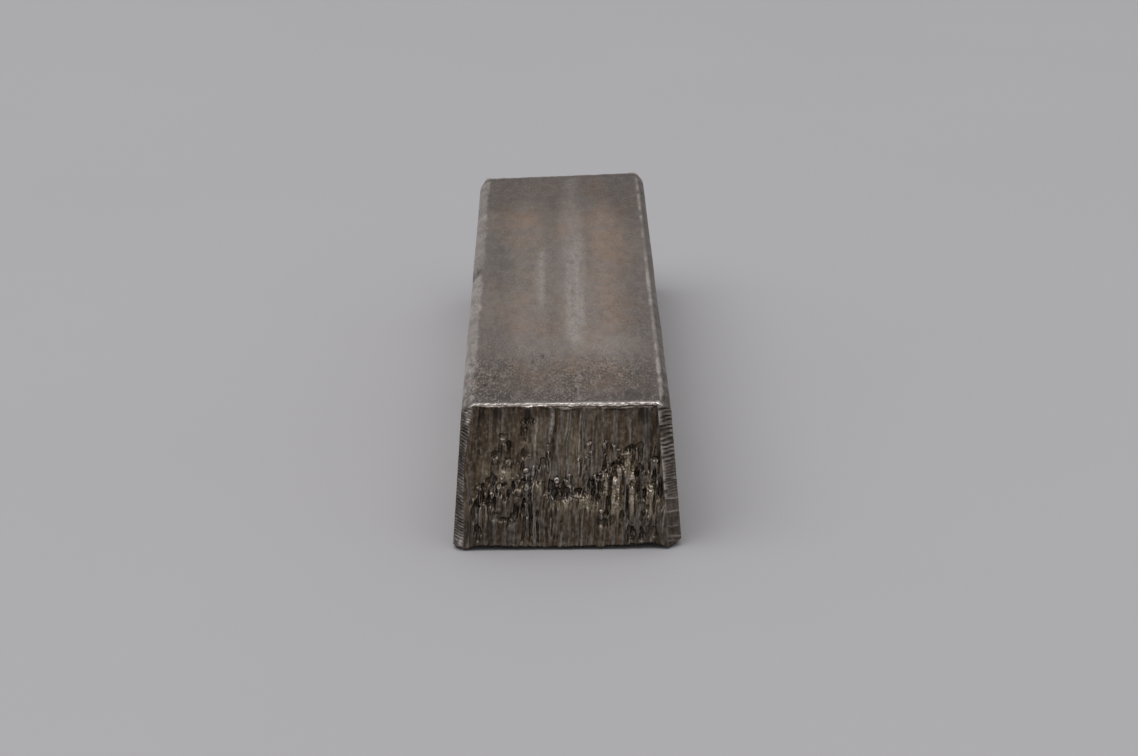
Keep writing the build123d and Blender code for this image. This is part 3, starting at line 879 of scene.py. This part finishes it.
def body_limit(t, name):
    """Where the even rings of the body stop short of an end."""
    if name == "rear":
        return rear_limit(outline(t)[0][:, 0]) - BODY_INSET
    return np.full(t.shape, FRONT_Y + BODY_INSET)


def add_end(skin, end, name):
    """Adds an end: its cap, the collar round it and two rings of the body. Returns its last three loops."""
    points, flat, masks = end.cap()
    numbers = skin.add(points, flat=flat, torn=1.0, **masks)
    skin.grid(numbers, name)
    loop, t = border_of(numbers), border_t(end.columns, end.rows)
    if name == "rear":  # seen from outside, it goes round the other way
        t = (3 - t) % 4
        order = np.argsort(t)
        loop, t = loop[order], t[order]
    inside = loop - numbers[0, 0]
    rings = end.collar(points.reshape(-1, 3)[inside], flat.reshape(-1, 2)[inside], t)
    loops = [loop, *(skin.add(ring, **masks) for ring, masks in rings)]
    for front_loop, rear_loop in zip(loops, loops[1:]):
        skin.bridge(*((front_loop, rear_loop) if name == "front" else (rear_loop, front_loop)), name)
    last, limit = rings[-1][0][:, 1], body_limit(t, name)
    return [(loops[-1], t), *((body_ring(skin, t, last + (limit - last) * share), t) for share in (0.35, 0.7))]


def make_ingot():
    """The bar as one closed mesh: front end, body and rear end, joined ring by ring."""
    skin = Skin()
    turn_x, turn_y = cos(REAR_SKEW), sin(REAR_SKEW)
    flats = (LEFT_FLAT, RIGHT_FLAT)
    front = End(
        (0, FRONT_Y, 0), across=(1, 0, 0), out=(0, -1, 0), flats=flats, seed=100, columns=280, rows=206, rings=8,
        features=(FRONT_TONGUES, FRONT_STREAKS, FRONT_HOLLOWS, FRONT_CURLS, FRONT_GOLD, FRONT_LIP_SHADE),
    )
    rear = End(
        (0, REAR_Y, 0), across=(-turn_x, -turn_y, 0), out=(-turn_y, turn_x, 0), flats=flats[::-1], seed=300,
        columns=110, rows=84, rings=6,
        features=(REAR_TONGUES, REAR_STREAKS, REAR_HOLLOWS, REAR_CURLS, REAR_GOLD, REAR_LIP_SHADE),
    )
    front_loops, rear_loops = add_end(skin, front, "front"), add_end(skin, rear, "rear")

    t = body_t()
    first, last = body_limit(t, "front"), body_limit(t, "rear")
    stations = np.linspace(0, 1, BODY_RINGS)
    stations = 0.45 * stations + 0.55 * stations**2  # closer together near the front
    body = [(body_ring(skin, t, first + station * (last - first)), t) for station in stations]

    sequence = [*front_loops, *body, *reversed(rear_loops)]
    for (loop_a, t_a), (loop_b, t_b) in zip(sequence, sequence[1:]):
        if len(loop_a) == len(loop_b):
            skin.bridge(loop_a, loop_b, "body")
        else:
            skin.zip(loop_a, t_a, loop_b, t_b, "body")
    return skin.make("ingot_skin")


class Nodes:
    """Short ways of adding shader nodes to a material.

    A value is a socket or a number, and a colour is a socket or three numbers.
    """

    def __init__(self, name):
        self.material = bpy.data.materials.new(name)
        self.material.use_nodes = True
        self.tree = self.material.node_tree
        self.shader = self.tree.nodes["Principled BSDF"].inputs
        self.place = self.add("ShaderNodeTexCoord").outputs["Object"]

    def feed(self, socket, value):
        """Feeds a socket from another, or sets it."""
        if isinstance(value, bpy.types.NodeSocket):
            self.tree.links.new(value, socket)
        else:
            socket.default_value = (*value, 1) if socket.type == "RGBA" else value

    def add(self, kind, inputs=None, **settings):
        """A new node with some settings and inputs."""
        node = self.tree.nodes.new(kind)
        for name, value in settings.items():
            setattr(node, name, value)
        for name, value in (inputs or {}).items():
            self.feed(node.inputs[name], value)
        return node

    def mask(self, name):
        """A mask that the mesh keeps."""
        return self.add("ShaderNodeAttribute", attribute_name=name).outputs["Fac"]

    def noise(self, scale, detail=3.0, stretch=(1, 1, 1), roughness=0.5, turn=0.0):
        """Noise with so many bumps to the millimetre, stretched by axis, with the axes turned about the upright."""
        axes = {"Vector": self.place, "Scale": [1 / share for share in stretch], "Rotation": (0, 0, turn)}
        mapping = self.add("ShaderNodeMapping", axes, vector_type="TEXTURE")
        bumps = {"Scale": scale / MM, "Detail": detail, "Roughness": roughness}
        return self.add("ShaderNodeTexNoise", {"Vector": mapping.outputs["Vector"], **bumps}).outputs["Fac"]

    def range(self, value, low, high, to_low=0.0, to_high=1.0):
        """A value brought from one range to another, and kept inside it."""
        ends = {"From Min": low, "From Max": high, "To Min": to_low, "To Max": to_high}
        return self.add("ShaderNodeMapRange", {"Value": value, **ends}).outputs["Result"]

    def math(self, operation, first, second):
        """A sum on two values."""
        return self.add("ShaderNodeMath", {0: first, 1: second}, operation=operation).outputs["Value"]

    def times(self, first, second):
        """One value times another."""
        return self.math("MULTIPLY", first, second)

    def layers(self, colour, *layers):
        """A colour with others over it, each given as its share and itself."""
        for share, over in layers:
            node = self.add("ShaderNodeMix", {"Factor": share}, data_type="RGBA")
            for socket, value in zip((s for s in node.inputs if s.type == "RGBA"), (colour, over)):
                self.feed(socket, value)
            colour = next(s for s in node.outputs if s.type == "RGBA")
        return colour


def toned_silver():
    """Dark toned silver: stained and satin on the body, darker and streaked on the torn ends, bright where worn and
    with painted highlights.
    """
    n = Nodes("toned_silver")
    grit = n.mask("grit")
    clouds = n.range(n.noise(0.22, 5, (1, 0.2, 1)), 0.38, 0.62)
    bands = n.range(n.noise(0.45, 3, (1, 0.04, 1)), 0.35, 0.65)
    blotches = n.range(n.noise(0.5, 5, (1, 0.5, 1)), 0.3, 0.6)
    broken = n.range(n.noise(2.4, 5, (1, 0.3, 1), 0.6), 0.38, 0.54, 0.6, 1.1)
    gathered = n.times(n.range(n.noise(0.35, 3, (1, 0.5, 1)), 0.36, 0.6, 0.35, 1), grit)
    mottled = n.math("MAXIMUM", grit, n.range(grit, 0.18, 0.24, 0.18, 0.34))
    mottle, grain = n.noise(1.4, 6, (1, 0.36, 1), 0.6), n.noise(5.6, 3, (1, 0.36, 1), 0.65)
    strokes = [n.range(n.noise(6.5, 2, (1, 0.16, 1), turn=turn), 0.65, 0.75, 0, 0.7) for turn in (0.1, 0.5, -0.4)]
    body = n.layers(
        (0.27, 0.221, 0.195),
        (clouds, (0.37, 0.286, 0.243)),
        (n.times(bands, 0.35), (0.453, 0.377, 0.331)),
        (n.times(n.mask("stain"), blotches), (0.41, 0.272, 0.182)),
        (n.mask("shade"), (0.132, 0.105, 0.09)),
        # Lighter where rubbed, and painted reflections and highlights
        (n.times(n.mask("light"), broken), (0.65, 0.59, 0.55)),
        (n.times(n.range(mottle, 0.36, 0.52, 0.55, 0), mottled), (0.11, 0.09, 0.076)),
        (n.times(n.range(mottle, 0.52, 0.7, 0, 0.4), mottled), (0.64, 0.54, 0.47)),
        (n.times(n.range(grain, 0.38, 0.51, 0.85, 0), gathered), (0.1, 0.083, 0.07)),
        (n.times(n.range(grain, 0.53, 0.66, 0, 0.7), gathered), (0.68, 0.58, 0.51)),
        *((n.times(stroke, gathered), (0.72, 0.63, 0.57)) for stroke in strokes),
    )
    streaks, crumbs = n.noise(6.0, 4, (1, 1, 0.12)), n.noise(3.2, 5, (1, 1, 0.7), 0.62)
    ends = n.layers(
        (0.146, 0.105, 0.069),
        (n.mask("grey"), (0.286, 0.266, 0.243)),
        (n.mask("gold"), (0.74, 0.62, 0.44)),
        (n.range(streaks, 0.35, 0.55, 0.7, 0), (0.05, 0.04, 0.03)),
        (n.range(streaks, 0.58, 0.72, 0, 0.4), (0.45, 0.4, 0.34)),
        (n.range(crumbs, 0.38, 0.5, 0.42, 0), (0.05, 0.04, 0.03)),
        (n.range(crumbs, 0.52, 0.66, 0, 0.3), (0.45, 0.39, 0.33)),
    )
    # Bright for rubbed metal and painted highlights and reflections, near black for patina and painted shade
    worn, hollow = (0.78, 0.71, 0.67), (0.03, 0.024, 0.02)
    colour = n.layers(body, (n.mask("torn"), ends), (n.mask("worn"), worn), (n.mask("hollow"), hollow))
    n.feed(n.shader["Base Color"], colour)
    n.feed(n.shader["Metallic"], 1.0)
    n.feed(n.shader["Roughness"], n.range(n.noise(0.8, 5), 0.3, 0.7, 0.32, 0.5))

    brushed = n.times(n.noise(3.0, 3, (1, 0.03, 1)), 0.7)
    height = n.math("ADD", brushed, n.noise(4.0, 4, (1, 0.7, 1)))
    bump = n.add("ShaderNodeBump", {"Distance": 0.05 * MM, "Strength": 0.8, "Height": height})
    n.feed(n.shader["Normal"], bump.outputs["Normal"])
    return n.material


def make_floor():
    """A wide, plain grey floor."""
    reach = 3.0
    corners = [(-reach, -reach, 0), (reach, -reach, 0), (reach, reach, 0), (-reach, reach, 0)]
    mesh = bpy.data.meshes.new("floor")
    mesh.from_pydata(corners, [], [(0, 1, 2, 3)])
    floor = add_object("floor", mesh)
    n = Nodes("floor_paper")
    n.feed(n.shader["Base Color"], n.layers((0.41, 0.403, 0.415), (n.noise(0.02, 3), (0.43, 0.423, 0.435))))
    n.feed(n.shader["Roughness"], 0.9)
    mesh.materials.append(n.material)


def add_lamp(name, place, size, radiance):
    """A square soft box, facing the bar."""
    lamp = bpy.data.lights.new(name, "AREA")
    lamp.size = size
    lamp.energy = radiance * pi * size**2
    holder = add_object(name, lamp)
    holder.location = place
    holder.rotation_euler = (-Vector(place)).to_track_quat("-Z", "Y").to_euler()


def add_camera():
    """The camera, where the photograph was taken from."""
    place = Vector((-0.77, -229.62, 86.07)) * MM
    pitch, yaw, roll = radians(20.0), radians(0.293), radians(-0.42)
    focal_pixels, image_width = 2640, 1138
    data = bpy.data.cameras.new("camera")
    data.sensor_width = 36.0
    data.lens = focal_pixels / image_width * data.sensor_width
    data.clip_start, data.clip_end = 0.01, 20
    camera = add_object("camera", data)
    turn = Matrix.Rotation(-yaw, 4, "Z") @ Matrix.Rotation(pi / 2 - pitch, 4, "X") @ Matrix.Rotation(roll, 4, "Z")
    camera.matrix_world = Matrix.Translation(place) @ turn
    bpy.context.scene.camera = camera


def light_scene():
    """Soft boxes over the bar and a grey surround."""
    world = bpy.data.worlds.new("surround")
    world.use_nodes = True
    background = world.node_tree.nodes["Background"]
    background.inputs["Color"].default_value = (0.42, 0.42, 0.425, 1)
    bpy.context.scene.world = world
    add_lamp("key", place=(-0.7, -0.4, 1.4), size=1.25, radiance=2.0)
    add_lamp("overhead", place=(0.15, -0.4, 1.8), size=1.7, radiance=1.3)
    bpy.context.scene.view_settings.view_transform = "Standard"


ingot = make_ingot()
ingot.data.materials.append(toned_silver())
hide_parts("ingot")
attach(ingot, "root")
make_floor()
light_scene()
add_camera()
